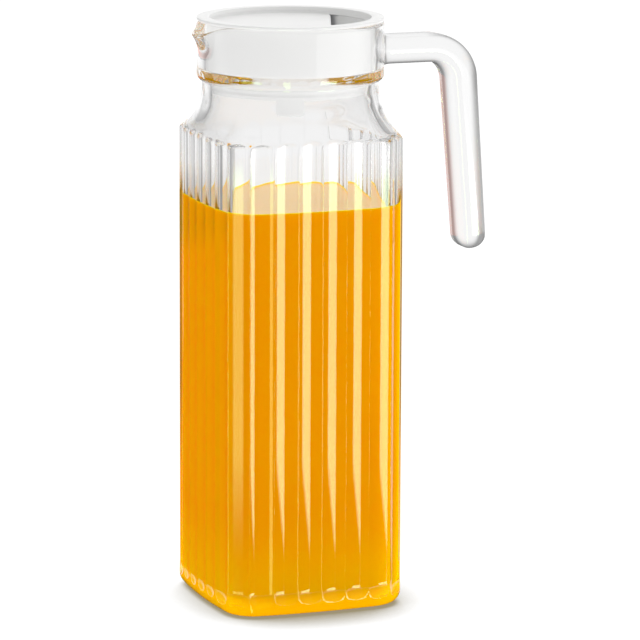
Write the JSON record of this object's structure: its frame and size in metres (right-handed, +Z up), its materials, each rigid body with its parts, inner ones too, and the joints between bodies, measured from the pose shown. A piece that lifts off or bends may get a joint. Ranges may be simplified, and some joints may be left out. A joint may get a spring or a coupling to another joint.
{
  "type": "glass pitcher with lid",
  "caption": "Square fluted glass jug with a round collar, a small pouring spout, an open glass handle and a white push-in plastic lid.",
  "frame": {"origin": "middle of the flat base, on the surface that the jug stands on", "axes": "+Z up, +X towards the handle, -X towards the spout, -Y is the face seen in the picture"},
  "size_m": [0.1398, 0.09, 0.265],
  "materials": {
    "pressed_glass": "clear pressed soda-lime glass, fire polished",
    "lid_plastic": "white moulded polyethylene, satin"
  },
  "bodies": {
    "jug": {"glass_body": "pressed_glass", "glass_handle": "pressed_glass"},
    "lid": {"lid": "lid_plastic"}
  },
  "joints": [
    {"name": "lid_lift", "type": "slide", "parent": "jug", "child": "lid", "axis": [0, 0, 1], "range_m": [0, 0.07]}
  ]
}
